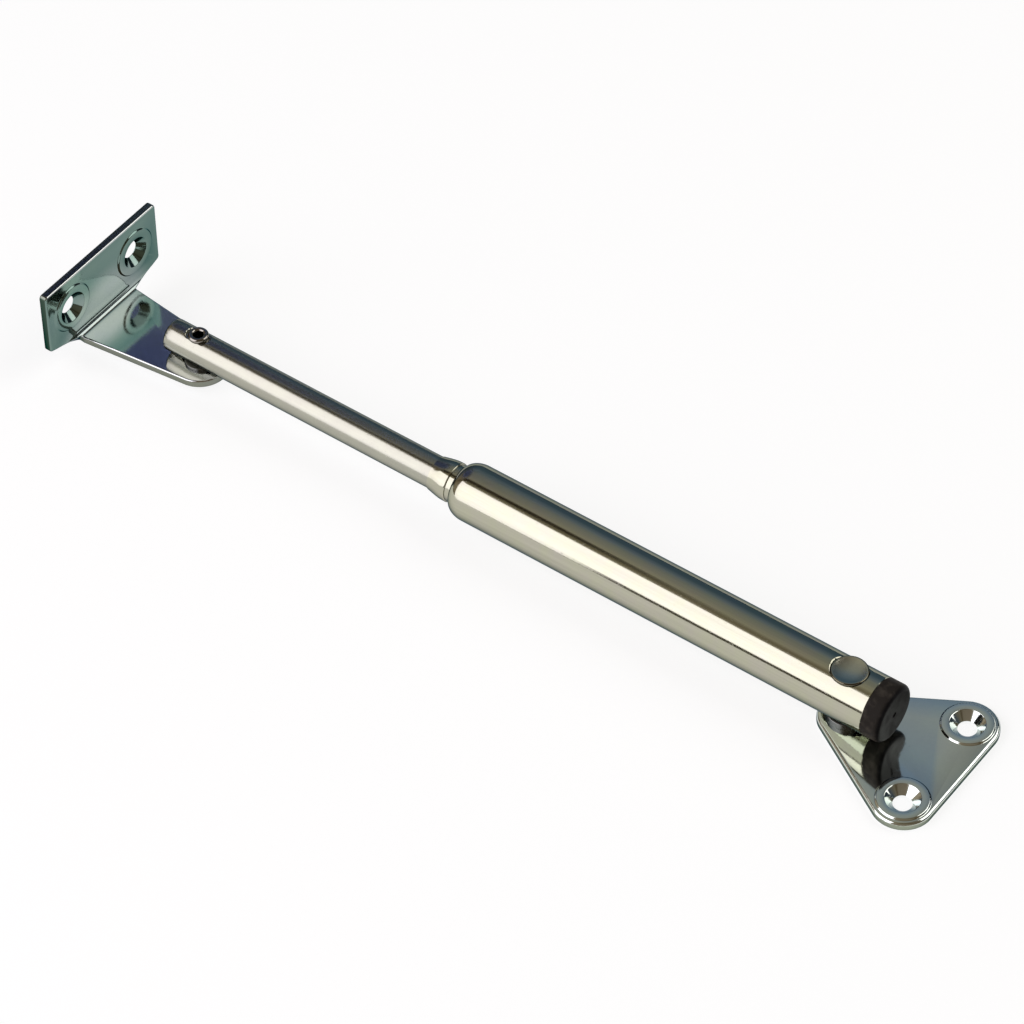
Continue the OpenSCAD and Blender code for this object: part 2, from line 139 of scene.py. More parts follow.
def card(name, place, toward, width, height, colour, soft):
    # Only the bright metal shows a card. It fades out toward its edges, so the stripe is soft.
    bpy.ops.mesh.primitive_plane_add(size=1, location=place)
    sheet_card = bpy.context.object
    sheet_card.name = name
    sheet_card.rotation_euler = facing(Vector(toward).normalized())
    sheet_card.scale = (width, height, 1)
    paint = bpy.data.materials.new(name)
    paint.use_nodes = True
    tree = paint.node_tree
    shader = tree.nodes["Principled BSDF"]
    shader.inputs["Base Color"].default_value = (*colour, 1)
    shader.inputs["Roughness"].default_value = 0.9
    clear = add_node(tree, "ShaderNodeBsdfTransparent", (0, 200))
    where = add_node(tree, "ShaderNodeTexCoord", (-900, 400))
    outward = add_node(tree, "ShaderNodeVectorMath", (-700, 400), {0: where.outputs["Object"]},
                       operation="ABSOLUTE")
    parts = add_node(tree, "ShaderNodeSeparateXYZ", (-500, 400), {0: outward.outputs[0]})
    cover = reckon(tree, "MULTIPLY", (-100, 400), *[
        fade(tree, (-300, 400), parts.outputs[axis], 0.5, 0.5 - soft, curve="SMOOTHSTEP")
        for axis in ("X", "Y")])
    blend = add_node(tree, "ShaderNodeMixShader", (400, 0), {
        "Fac": cover, 1: clear.outputs[0], 2: shader.outputs[0]})
    tree.links.new(blend.outputs[0], tree.nodes["Material Output"].inputs["Surface"])
    sheet_card.data.materials.append(paint)
    sheet_card.visible_camera = False
    sheet_card.visible_shadow = False
    sheet_card.visible_diffuse = False
    sheet_card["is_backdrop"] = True


card("navy_card", place=(0.345, -0.096, 0.216), toward=(-0.41, 0.38, -0.83), width=0.30,
     height=0.36, colour=(0.08, 0.11, 0.25), soft=0.45)
card("olive_card", place=(0.178, 0.35, 0.04), toward=(0.0, -1.0, -0.1), width=0.13,
     height=0.06, colour=(0.17, 0.155, 0.11), soft=0.15)
card("brown_card", place=(0.27, 0.030, 0.285), toward=(-0.4, 0.0, -0.92), width=0.26,
     height=0.09, colour=(0.05, 0.035, 0.015), soft=0.35)

bpy.ops.mesh.primitive_plane_add(size=floor_size, location=(middle.x, middle.y, -floor_gap))
floor = bpy.context.object
floor.name = "floor"
floor_paint = bpy.data.materials.new("pale_floor")
floor_paint.use_nodes = True
tree = floor_paint.node_tree
tree.nodes.clear()
matt = add_node(tree, "ShaderNodeBsdfDiffuse", (150, 100), {"Color": (0.93, 0.93, 0.93, 1)})
glow = add_node(tree, "ShaderNodeEmission", (150, -100), {"Strength": floor_glow})
ray = add_node(tree, "ShaderNodeLightPath", (-250, 300))
seen = reckon(tree, "MAXIMUM", (-50, 300), ray.outputs["Is Camera Ray"],
              ray.outputs["Is Glossy Ray"])
seen_all = reckon(tree, "MAXIMUM", (100, 300), seen, ray.outputs["Is Transmission Ray"])
share = reckon(tree, "MULTIPLY", (250, 300), seen_all, floor_glow_share)
blend = add_node(tree, "ShaderNodeMixShader", (400, 0), {
    "Fac": share, 1: matt.outputs[0], 2: glow.outputs[0]})
add_node(tree, "ShaderNodeOutputMaterial", (600, 0), {"Surface": blend.outputs[0]})
floor.data.materials.append(floor_paint)
floor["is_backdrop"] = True


def tone_ramp(tree, place, source, tones):
    ramp = add_node(tree, "ShaderNodeValToRGB", place, {"Fac": source})
    stops = ramp.color_ramp.elements
    while len(stops) < len(tones):
        stops.new(0.5)
    for stop, (position, colour) in zip(stops, tones):
        stop.position = position
        stop.color = (*colour, 1)
    return ramp.outputs["Color"]


# The sky's tone follows the angle round the stay, from the camera's side over the top to the far
# side, where it turns dark blue. A second tone follows the stay's length.
sky_tones = [
    (0.00, (0.30, 0.29, 0.24)), (0.10, (0.55, 0.53, 0.45)), (0.36, (0.45, 0.42, 0.34)),
    (0.42, (0.20, 0.17, 0.11)), (0.50, (0.40, 0.38, 0.30)), (0.60, (0.30, 0.30, 0.27)),
    (0.68, (0.26, 0.28, 0.27)), (0.76, (0.16, 0.21, 0.27)), (0.86, (0.07, 0.12, 0.18)),
    (1.00, (0.07, 0.12, 0.18)),
]
side_tones = [
    (0.00, (0.18, 0.16, 0.14)), (0.42, (0.18, 0.15, 0.13)), (0.66, (0.5, 0.5, 0.5)),
    (0.76, (0.5, 0.5, 0.5)), (0.90, (0.32, 0.28, 0.25)), (1.00, (0.32, 0.28, 0.25)),
]
world = bpy.data.worlds.new("studio")
bpy.context.scene.world = world
world.use_nodes = True
tree = world.node_tree
tree.nodes.clear()
where = add_node(tree, "ShaderNodeTexCoord", (-600, 0))
parts = add_node(tree, "ShaderNodeSeparateXYZ", (-400, 0), {0: where.outputs["Generated"]})
turn = reckon(tree, "ARCTAN2", (-200, 0), parts.outputs["Z"], parts.outputs["Y"])
half_turns = reckon(tree, "DIVIDE", (0, 0), turn, math.pi)
along = reckon(tree, "MULTIPLY_ADD", (0, 300), parts.outputs["X"], 0.5, 0.5)
both = add_node(tree, "ShaderNodeMix", (500, 150), {
    "Factor": 1.0, "A": tone_ramp(tree, (200, 0), half_turns, sky_tones),
    "B": tone_ramp(tree, (200, 300), along, side_tones)}, data_type="RGBA", blend_type="MULTIPLY")
sky = add_node(tree, "ShaderNodeBackground", (700, 0), {
    "Color": both.outputs["Result"], "Strength": sky_strength})
add_node(tree, "ShaderNodeOutputWorld", (900, 0), {"Surface": sky.outputs[0]})

# Base plate
# A triangle blanked from steel sheet, its upper edge rounded, with two screw seats pressed up and
# countersunk. It is zinc plated, with a clear blue passivated film.
sheet = 2.0 * mm
edge_break = 0.3 * mm
seat_rise = 0.4 * mm
seat_slope = 0.55 * mm
sink_radius = 4.15 * mm
screw_bore = 2.2 * mm
back_hollow = 0.4 * mm
base_corner = 7.2 * mm
base_nose = 6.6 * mm
base_screw_y = 13 * mm
base_seat = 6.25 * mm
base_pivot_x = 23 * mm
base_rivet_hole = 2.58 * mm
base_rivet_patch = 4.3 * mm
hair = 0.001 * mm  # points closer than this are one point


def pick(piece, part, test):
    bpy.context.view_layer.objects.active = piece
    bpy.ops.object.mode_set(mode="EDIT")
    bpy.ops.mesh.select_mode(type=part)
    bpy.ops.mesh.select_all(action="DESELECT")
    bpy.ops.object.mode_set(mode="OBJECT")
    rows = {"VERT": piece.data.vertices, "EDGE": piece.data.edges, "FACE": piece.data.polygons}
    for row in rows[part]:
        row.select = test(row)
    bpy.ops.object.mode_set(mode="EDIT")


def merge_near(distance):
    bpy.ops.object.mode_set(mode="EDIT")
    bpy.ops.mesh.select_all(action="SELECT")
    bpy.ops.mesh.remove_doubles(threshold=distance)
    bpy.ops.object.mode_set(mode="OBJECT")


def face_out():
    bpy.ops.object.mode_set(mode="EDIT")
    bpy.ops.mesh.select_all(action="SELECT")
    bpy.ops.mesh.normals_make_consistent(inside=False)
    bpy.ops.object.mode_set(mode="OBJECT")


def spin_profile(name, profile, centre, axis, steps, closed):
    # Points of the profile are (distance along the axis, radius), a ring of them is spun about it
    bpy.ops.object.select_all(action="DESELECT")
    bpy.ops.mesh.primitive_circle_add(vertices=len(profile), radius=mm, location=(0, 0, 0))
    piece = bpy.context.object
    piece.name = name
    for corner, (along, radius) in zip(piece.data.vertices, profile):
        offset = (along, 0, radius) if axis == "X" else (radius, 0, along)
        corner.co = Vector(centre) + Vector(offset)
    if not closed:
        ends = {0, len(profile) - 1}
        pick(piece, "EDGE", lambda edge: set(edge.vertices) == ends)
        bpy.ops.mesh.delete(type="EDGE")
    bpy.ops.object.mode_set(mode="EDIT")
    bpy.ops.mesh.select_mode(type="VERT")
    bpy.ops.mesh.select_all(action="SELECT")
    direction = (1, 0, 0) if axis == "X" else (0, 0, 1)
    bpy.ops.mesh.spin(steps=steps, angle=2 * math.pi, center=centre, axis=direction)
    bpy.ops.object.mode_set(mode="OBJECT")
    merge_near(hair)
    face_out()
    return piece


def cut_with(piece, cutter):
    bpy.ops.object.select_all(action="DESELECT")
    bpy.context.view_layer.objects.active = piece
    piece.select_set(True)
    tool = piece.modifiers.new("cut", "BOOLEAN")
    tool.operation = "DIFFERENCE"
    tool.solver = "EXACT"
    tool.object = cutter
    bpy.ops.object.modifier_apply(modifier="cut")
    bpy.data.objects.remove(cutter)


def fit_hole(piece, x, y, z, radius, profile):
    # A round patch is cut out of the sheet and a spun one with the hole's shape is sewn in
    steps = 96
    bpy.ops.object.select_all(action="DESELECT")
    bpy.ops.mesh.primitive_cylinder_add(vertices=steps, radius=radius, depth=6 * sheet,
                                        location=(x, y, z))
    cut_with(piece, bpy.context.object)
    pick(piece, "FACE", lambda face: abs(face.normal.z) < 0.5
         and math.hypot(face.center.x - x, face.center.y - y) < radius * 1.01)
    bpy.ops.mesh.delete(type="FACE")
    bpy.ops.object.mode_set(mode="OBJECT")
    patch = spin_profile("patch", profile, (x, y, z), "Z", steps, closed=False)
    bpy.ops.object.select_all(action="DESELECT")
    patch.select_set(True)
    piece.select_set(True)
    bpy.context.view_layer.objects.active = piece
    bpy.ops.object.join()
    merge_near(4 * hair)
    face_out()


def seat_profile(radius):
    # Heights from the sheet's back: pressed shoulder, flat, countersink, bore and hollow behind
    steps = 8
    rise = [(sheet + seat_rise * (0.5 - 0.5 * math.cos(math.pi * i / steps)),
             radius - seat_slope * i / steps) for i in range(steps + 1)]
    rim = sheet + seat_rise
    return rise + [
        (rim, sink_radius), (rim - 0.02 * mm, 4.06 * mm), (rim - 0.09 * mm, 3.98 * mm),
        (0.64 * mm, 2.26 * mm), (0.57 * mm, screw_bore), (0.47 * mm, screw_bore),
        (back_hollow, 2.27 * mm), (back_hollow, 3.85 * mm), (0.3 * mm, 4.0 * mm),
        (0.05 * mm, 4.08 * mm), (0.0, sink_radius), (0.0, radius)]


def new_group(name, inlets, outlets):
    group = bpy.data.node_groups.new(name, "ShaderNodeTree")
    for label, kind, value in inlets:
        group.interface.new_socket(label, in_out="INPUT",
                                   socket_type="NodeSocket" + kind).default_value = value
    for label, kind in outlets:
        group.interface.new_socket(label, in_out="OUTPUT", socket_type="NodeSocket" + kind)
    return group, add_node(group, "NodeGroupInput", (-1100, 0)).outputs


skin_outlets = [("Colour", "Color"), ("Roughness", "Float"), ("Height", "Float")]


def metal_skin_group():
    # Colour drifts in soft clouds and fine lines, roughness and height follow the lines and pits
    group, given = new_group("metal_skin", [
        ("Colour", "Color", (0.5, 0.5, 0.5, 1)), ("Film", "Color", (0.5, 0.5, 0.5, 1)),
        ("Film share", "Float", 0.5), ("Grain", "Vector", (1000, 1000, 1000)),
        ("Grain depth", "Float", 0.1), ("Cloud size", "Float", 150.0), ("Rough", "Float", 0.15),
        ("Rough spread", "Float", 0.1)], skin_outlets)
    where = add_node(group, "ShaderNodeTexCoord", (-1100, 300)).outputs["Object"]
    scaled = add_node(group, "ShaderNodeVectorMath", (-850, 250), {0: where, 1: given["Grain"]},
                      operation="MULTIPLY")
    lines = add_node(group, "ShaderNodeTexNoise", (-650, 250), {
        "Vector": scaled.outputs[0], "Scale": 1.0, "Detail": 4.0, "Roughness": 0.6})
    clouds = add_node(group, "ShaderNodeTexNoise", (-650, 0), {
        "Vector": where, "Scale": given["Cloud size"], "Detail": 3.0})
    spots = add_node(group, "ShaderNodeTexNoise", (-650, -250), {
        "Vector": where, "Scale": 1700.0, "Detail": 2.0})
    cloud_mask = fade(group, (-450, 0), clouds.outputs["Fac"], 0.35, 0.68)
    line_tone = fade(group, (-450, 250), lines.outputs["Fac"], 0.3, 0.7, low=-0.5, high=0.5)
    pits = fade(group, (-450, -250), spots.outputs["Fac"], 0.64, 0.74)
    film_mask = reckon(group, "MULTIPLY", (-250, 0), cloud_mask, given["Film share"])
    film = add_node(group, "ShaderNodeMix", (-50, 100), {
        "Factor": film_mask, "A": given["Colour"], "B": given["Film"]}, data_type="RGBA")
    line_deep = reckon(group, "MULTIPLY", (-250, 250), line_tone, given["Grain depth"])
    line_lift = reckon(group, "ADD", (-50, 300), line_deep, 1.0)
    toned = add_node(group, "ShaderNodeVectorMath", (200, 150), {
        0: film.outputs["Result"], "Scale": line_lift}, operation="SCALE")
    rough_step = reckon(group, "MULTIPLY", (-50, -150), line_tone, given["Rough spread"])
    rough_sum = reckon(group, "ADD", (200, -100), rough_step, given["Rough"])
    add_node(group, "NodeGroupOutput", (900, 0), {
        "Colour": toned.outputs[0],
        "Roughness": reckon(group, "MULTIPLY_ADD", (400, -150), pits, 0.12, rough_sum),
        "Height": reckon(group, "SUBTRACT", (400, -350), line_tone, pits)})
    return group


metal_skin = metal_skin_group()


def skinned(name, group, skin_values, bump_strength, relief):
    # A material whose colour, roughness and bump come from a skin group with values of its own
    material = bpy.data.materials.new(name)
    material.use_nodes = True
    tree = material.node_tree
    shader = tree.nodes["Principled BSDF"]
    skin = add_node(tree, "ShaderNodeGroup", (-500, 0), skin_values, node_tree=group)
    bump = add_node(tree, "ShaderNodeBump", (-250, -250), {
        "Strength": bump_strength, "Distance": relief, "Height": skin.outputs["Height"]})
    for output, inlet in ((skin.outputs["Colour"], "Base Color"),
                          (skin.outputs["Roughness"], "Roughness"),
                          (bump.outputs["Normal"], "Normal")):
        tree.links.new(output, shader.inputs[inlet])
    return material


def metal(name, colour, film, film_share, grain, grain_depth, cloud_size, rough, rough_spread,
          relief=0.004 * mm):
    material = skinned(name, metal_skin, {
        "Colour": (*colour, 1), "Film": (*film, 1), "Film share": film_share, "Grain": grain,
        "Grain depth": grain_depth, "Cloud size": cloud_size, "Rough": rough,
        "Rough spread": rough_spread}, bump_strength=0.6, relief=relief)
    shader = material.node_tree.nodes["Principled BSDF"]
    shader.inputs["Metallic"].default_value = 1.0
    shader.inputs["Specular Tint"].default_value = (0.14, 0.19, 0.24, 1)
    return material


def toned_area_group():
    # Colour is multiplied by a tone as far as the mask says
    group, given = new_group("toned_area", [
        ("Colour", "Color", (0.5, 0.5, 0.5, 1)), ("Tone", "Color", (1, 1, 1, 1)),
        ("Mask", "Float", 0.0)], [("Colour", "Color")])
    shade = add_node(group, "ShaderNodeMix", (0, 0), {
        "Factor": given["Mask"], "A": given["Colour"], "B": given["Tone"]},
        data_type="RGBA", blend_type="MULTIPLY")
    add_node(group, "NodeGroupOutput", (300, 0), {"Colour": shade.outputs["Result"]})
    return group


toned_area = toned_area_group()


def tone_where(material, mask, tone):
    tree = material.node_tree
    base = tree.nodes["Principled BSDF"].inputs["Base Color"]
    shade = add_node(tree, "ShaderNodeGroup", (-200, 250), {
        "Colour": base.links[0].from_socket, "Tone": (*tone, 1), "Mask": mask},
        node_tree=toned_area)
    tree.links.new(shade.outputs["Colour"], base)


def bare_edges(material):
    edge = add_node(material.node_tree, "ShaderNodeAttribute", (-500, 450),
                    attribute_name="cut_edge")
    tone_where(material, edge.outputs["Fac"], (0.37, 0.38, 0.32))


def hand_over(piece, body, material, nodes, smooth=30):
    bpy.ops.object.select_all(action="DESELECT")
    piece.select_set(True)
    bpy.context.view_layer.objects.active = piece
    bpy.ops.object.transform_apply(location=True, rotation=True, scale=True)
    bpy.ops.object.shade_smooth_by_angle(angle=math.radians(smooth))
    piece.data.materials.clear()
    piece.data.materials.append(material)
    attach(piece, body)
    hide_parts(*nodes)


def blank(name, corners, top_round):
    # A flat sheet with each corner rounded, cut out of the corners (x, y, radius), then its upper
    # edge rounded and its lower edge broken. The faces of its edge are marked.
    point_gap = 0.3 * mm
    steep = 0.3
    outline = []
    for i, (x, y, radius) in enumerate(corners):
        here = Vector((x, y))
        back = (Vector(corners[i - 1][:2]) - here).normalized()
        on = (Vector(corners[(i + 1) % len(corners)][:2]) - here).normalized()
        half = back.angle(on) / 2
        centre = here + (back + on).normalized() * radius / math.sin(half)
        start = here + back * radius / math.tan(half) - centre
        end = here + on * radius / math.tan(half) - centre
        swing = math.atan2(start.cross(end), start.dot(end))
        steps = max(4, round(abs(swing) * radius / point_gap))
        for j in range(steps + 1):
            turn = math.atan2(start.y, start.x) + swing * j / steps
            outline.append((centre.x + radius * math.cos(turn),
                            centre.y + radius * math.sin(turn)))
    bpy.ops.object.select_all(action="DESELECT")
    bpy.ops.mesh.primitive_circle_add(vertices=len(outline), radius=mm, fill_type="NGON",
                                      location=(0, 0, 0))
    piece = bpy.context.object
    piece.name = name
    for corner, (x, y) in zip(piece.data.vertices, outline):
        corner.co = (x, y, 0)
    bpy.ops.object.mode_set(mode="EDIT")
    bpy.ops.mesh.select_all(action="SELECT")
    bpy.ops.mesh.extrude_region_move(TRANSFORM_OT_translate={"value": (0, 0, sheet)})
    bpy.ops.object.mode_set(mode="OBJECT")
    face_out()
    for height, offset, segments in ((sheet, top_round, 8), (0, edge_break, 3)):
        points = piece.data.vertices
        pick(piece, "EDGE", lambda edge: all(abs(points[i].co.z - height) < hair
                                             for i in edge.vertices))
        bpy.ops.mesh.bevel(offset=offset, segments=segments, affect="EDGES")
        bpy.ops.object.mode_set(mode="OBJECT")
    merge_near(4 * hair)
    cut_edge = piece.data.attributes.new("cut_edge", "FLOAT", "FACE")
    for mark, face in zip(cut_edge.data, piece.data.polygons):
        mark.value = 1.0 if abs(face.normal.z) < steep else 0.0
    return piece


side_turn = math.atan2(-base_screw_y, base_pivot_x) + math.acos(
    (base_corner - base_nose) / math.hypot(base_pivot_x, base_screw_y))
side_reach = base_screw_y * math.sin(side_turn) + base_corner
back_y = (side_reach + base_corner * math.cos(side_turn)) / math.sin(side_turn)
base_plate = blank("base_plate_sheet", [
    (-base_corner, -back_y, base_corner), (side_reach / math.cos(side_turn), 0.0, base_nose),
    (-base_corner, back_y, base_corner)], top_round=0.85 * mm)
for y in (base_screw_y, -base_screw_y):
    fit_hole(base_plate, 0.0, y, 0.0, base_seat, seat_profile(base_seat))
fit_hole(base_plate, base_pivot_x, 0.0, 0.0, base_rivet_patch, [
    (sheet, base_rivet_patch), (sheet, 2.7 * mm), (sheet - 0.1 * mm, base_rivet_hole),
    (1.3 * mm, base_rivet_hole), (0.0, 3.88 * mm), (0.0, base_rivet_patch)])
plated_finish = {"film_share": 0.55, "grain": (900, 900, 900), "grain_depth": 0.03,
                 "cloud_size": 120.0, "rough": 0.09, "rough_spread": 0.03}
plated_sheet = metal("plated_sheet", (0.78, 0.84, 0.77), (0.72, 0.75, 0.77), **plated_finish)
bare_edges(plated_sheet)
hand_over(base_plate, "base", plated_sheet, ["base_plate"])

# Base washer
# A thin washer of blackened steel between the plate and the tube. The base rivet passes through
# it and holds it.
axis_z = 9.8 * mm


def washer_profile(low, high, inner, outer):
    soft = 0.1 * mm
    return [(low, inner + soft), (low, outer - soft), (low + soft, outer), (high - soft, outer),
            (high, outer - soft), (high, inner + soft), (high - soft, inner), (low + soft, inner)]


blackened = metal("blackened_steel", (0.16, 0.165, 0.155), (0.11, 0.10, 0.09), film_share=0.5,
                  grain=(700, 700, 700), grain_depth=0.3, cloud_size=300.0, rough=0.30,
                  rough_spread=0.15, relief=0.006 * mm)
base_washer = spin_profile("base_washer_ring", washer_profile(
    sheet, 3.5 * mm, base_rivet_hole, 4.7 * mm), (base_pivot_x, 0, 0), "Z", steps=96,
    closed=True)
hand_over(base_washer, "base", blackened, ["base_washer"])

# Base rivet
# A steel rivet with a wide thin head whose top is dished. Its plain tail is spread into the
# countersink under the plate, so that the tube can turn.
base_shank = 2.5 * mm
head_low = axis_z + 6.2 * mm
head_top = head_low + 0.7 * mm
head_radius = 4.3 * mm
head_rim = 0.35 * mm
dish_reach = 3.9 * mm
dish_depth = 0.6 * mm
dish_lip = 0.005 * mm


def arc(along, radius, reach, rise, start, end, steps):
    # Part of a ring round the point (along, radius), from start to end degrees off the axis
    turns = [math.radians(start + (end - start) * i / steps) for i in range(steps + 1)]
    return [(along + reach * math.cos(turn), radius + rise * math.sin(turn)) for turn in turns]


def base_rivet_profile():
    points = [(0.1 * mm, 0.0), (0.1 * mm, 3.6 * mm), (0.2 * mm, 3.7 * mm),
              (1.3 * mm, base_shank), (head_low, base_shank),
              (head_low, head_radius - 0.1 * mm), (head_low + 0.1 * mm, head_radius)]
    points += arc(head_top - head_rim, head_radius - head_rim, head_rim, head_rim, 90, 10, 8)
    for i in range(17):
        share = 1 - i / 16
        points.append((head_top - dish_depth + (dish_depth - dish_lip) * share * share,
                       dish_reach * share))
    return points


headed_finish = {"film_share": 0.6, "grain": (1300, 1300, 1300), "grain_depth": 0.06,
                 "cloud_size": 400.0, "rough": 0.14, "rough_spread": 0.05}
rivet_steel = metal("rivet_steel", (0.58, 0.57, 0.46), (0.52, 0.52, 0.45), **headed_finish)
# A thin ring at the edge of the head's dish is toned darker: painted shade along the rim.
tree = rivet_steel.node_tree
where = add_node(tree, "ShaderNodeTexCoord", (-900, 450))
flatten = add_node(tree, "ShaderNodeVectorMath", (-700, 450), {
    0: where.outputs["Object"], 1: (1, 1, 0)}, operation="MULTIPLY")
from_axis = add_node(tree, "ShaderNodeVectorMath", (-500, 450), {
    0: flatten.outputs[0], 1: (base_pivot_x, 0, 0)}, operation="DISTANCE")
rim_painted_shade = fade(tree, (-350, 650), from_axis.outputs["Value"], start=3.85 * mm,
                full=4.1 * mm)
tone_where(rivet_steel, rim_painted_shade, (0.25, 0.23, 0.20))
base_rivet = spin_profile("base_rivet_steel", base_rivet_profile(), (base_pivot_x, 0, 0), "Z",
                          steps=128, closed=False)
hand_over(base_rivet, "tube", rivet_steel, ["base_rivet"])

# Outer tube
# Drawn steel tube, bright nickel plated. Its front end is swaged down over the bush to a round
# shoulder, a groove and a short neck, and a flat is pressed in at each end of the rivet.
tube_back = 15.5 * mm
tube_radius = 7 * mm
bore_radius = 6 * mm
body_end = 123.7 * mm
shoulder_end = 127.9 * mm
inner_shoulder = 3.2 * mm
groove_radius = 4.6 * mm
groove_end = 129.1 * mm
lip_middle = 129.6 * mm
lip_round = 0.3 * mm
neck_start = 130.4 * mm
neck_tip = 134.5 * mm
neck_radius = 4.9 * mm
neck_taper = 0.65 * mm
neck_bore = 4.3 * mm
base_flat_z = 6.2 * mm


def tube_profile():
    points = [(tube_back, 6.12 * mm), (tube_back, 6.85 * mm), (tube_back + 0.15 * mm, tube_radius)]
    points += [(base_pivot_x + 0.2 * mm * i, tube_radius) for i in range(-30, 31)]
    points += [(x * mm, tube_radius) for x in (40, 60, 80, 100, 115)]
    points += arc(body_end, groove_radius, shoulder_end - body_end, tube_radius - groove_radius,
                  90, 0, 28)
    points += [(shoulder_end + 0.7 * mm, groove_radius - 0.02 * mm),
               (groove_end, groove_radius + 0.02 * mm)]
    points += arc(lip_middle, groove_radius, lip_round, lip_round, 180, 90, 5)
    for i in range(13):
        share = i / 12
        points.append((neck_start + (neck_tip - neck_start) * share,
                       neck_radius - neck_taper * share * share * (1.9 - 0.9 * share)))
    points += [(neck_tip - 0.06 * mm, 4.18 * mm), (neck_tip - 2 * mm, neck_bore)]
    points += arc(body_end, neck_bore, inner_shoulder, bore_radius - neck_bore, 0, 90, 14)
    points += [(tube_back + 0.12 * mm, bore_radius)]
    return points


def press_flat(piece, x, radius, height, soft, side):
    # The round wall is pushed in to a flat, with a soft rim
    for corner in piece.data.vertices:
        up = (corner.co.z - axis_z) * side
        away = math.hypot(corner.co.x - x, corner.co.y)
        share = min(max((radius + soft / 2 - away) / soft, 0), 1)
        if up > height and share > 0:
            share = share * share * (3 - 2 * share)
            corner.co.z = axis_z + side * (up + (height - up) * share)


nickel = metal("nickel_plate", (0.45, 0.445, 0.34), (0.45, 0.42, 0.37), film_share=0.6,
               grain=(22, 1500, 1500), grain_depth=0.10, cloud_size=260.0, rough=0.10,
               rough_spread=0.05)
outer_tube = spin_profile("outer_tube_shell", tube_profile(), (0, 0, axis_z), "X", steps=192,
                          closed=True)
press_flat(outer_tube, base_pivot_x, radius=4.2 * mm, height=base_flat_z, soft=0.8 * mm, side=1)
press_flat(outer_tube, base_pivot_x, radius=5.0 * mm, height=base_flat_z, soft=0.5 * mm, side=-1)
hand_over(outer_tube, "tube", nickel, ["outer_tube"])

# End cap
# A black moulded plug pushed into the tube's back end. Its head has a large rounding and a small
# gate mark in the middle, and a hollow skirt holds it in the bore.
cap_face = 11.0 * mm
cap_round = 1.3 * mm
cap_hollow = 4.55 * mm
skirt_end = 17.9 * mm


def plastic_skin_group():
    # Fine moulded grain with faint paler scuffs
    group, given = new_group("plastic_skin", [
        ("Colour", "Color", (0.02, 0.02, 0.02, 1)), ("Scuff", "Color", (0.05, 0.05, 0.05, 1)),
        ("Rough", "Float", 0.4)], skin_outlets)
    where = add_node(group, "ShaderNodeTexCoord", (-900, 300)).outputs["Object"]
    grain = add_node(group, "ShaderNodeTexNoise", (-650, 200), {
        "Vector": where, "Scale": 4500.0, "Detail": 3.0})
    patches = add_node(group, "ShaderNodeTexNoise", (-650, -50), {
        "Vector": where, "Scale": 420.0, "Detail": 5.0})
    scuffs = fade(group, (-400, -50), patches.outputs["Fac"], 0.48, 0.72)
    tone = add_node(group, "ShaderNodeMix", (-100, 0), {
        "Factor": scuffs, "A": given["Colour"], "B": given["Scuff"]}, data_type="RGBA")
    add_node(group, "NodeGroupOutput", (700, 0), {
        "Colour": tone.outputs["Result"],
        "Roughness": reckon(group, "MULTIPLY_ADD", (-100, -200), scuffs, 0.18, given["Rough"]),
        "Height": grain.outputs["Fac"]})
    return group


plastic_skin = plastic_skin_group()


def plastic(name, colour, scuff, rough, relief):
    return skinned(name, plastic_skin, {
        "Colour": (*colour, 1), "Scuff": (*scuff, 1), "Rough": rough},
        bump_strength=0.5, relief=relief)


def cap_profile():
    # The sunk gate mark, the slightly domed face, the rounding, the head, the skirt, the hollow
    points = [(cap_face + 0.35 * mm, 0.0), (cap_face + 0.35 * mm, 0.5 * mm),
              (cap_face + 0.12 * mm, 0.7 * mm), (cap_face + 0.1 * mm, 3.9 * mm),
              (cap_face + 0.04 * mm, 4.7 * mm)]
    points += arc(cap_face + cap_round, tube_radius - cap_round, cap_round, cap_round,
                  180, 90, 14)
    points += [(14.0 * mm, tube_radius), (15.42 * mm, tube_radius), (tube_back, 6.9 * mm),
               (tube_back, 5.95 * mm), (17.7 * mm, 5.95 * mm), (skirt_end, 5.75 * mm),
               (skirt_end, cap_hollow), (13.0 * mm, cap_hollow), (13.0 * mm, 0.0)]
    return points


black_plastic = plastic("black_plastic_moulding", (0.026, 0.023, 0.020), (0.062, 0.054, 0.045),
                        rough=0.38, relief=0.01 * mm)
# The cap's end face is toned darker and bluer than its side: painted shade on that face.
tree = black_plastic.node_tree
tree.nodes["Principled BSDF"].inputs["Specular IOR Level"].default_value = 0.02
where = add_node(tree, "ShaderNodeTexCoord", (-900, 450))
parts = add_node(tree, "ShaderNodeSeparateXYZ", (-700, 450), {0: where.outputs["Object"]})
end_face_painted_shade = fade(tree, (-500, 650), parts.outputs["X"], start=11.9 * mm,
                full=11.3 * mm)
tone_where(black_plastic, end_face_painted_shade, (0.30, 0.32, 0.40))
end_cap = spin_profile("end_cap_plug", cap_profile(), (0, 0, axis_z), "X", steps=144,
                       closed=False)
hand_over(end_cap, "tube", black_plastic, ["end_cap"])

# Guide bush
# A turned bush of grey acetal behind the tube's shoulder, in which the rod slides. The swaged end
# holds it from the front, and the stop washer closes it behind.


def dress(node, material):
    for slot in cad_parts[node].material_slots:
        slot.link = "OBJECT"
        slot.material = material


grey_acetal = plastic("grey_acetal", (0.10, 0.10, 0.11), (0.16, 0.16, 0.16), rough=0.35,
                      relief=0.006 * mm)
dress("guide_bush", grey_acetal)

# Stop washer
# A flat steel ring behind the guide bush. It closes the bush and takes the blow at the end of the
# stroke.
washer_steel = metal("washer_steel", (0.50, 0.50, 0.48), (0.42, 0.40, 0.36), film_share=0.5,
                     grain=(1200, 1200, 1200), grain_depth=0.08, cloud_size=300.0, rough=0.28,
                     rough_spread=0.08, relief=0.006 * mm)
dress("stop_washer", washer_steel)

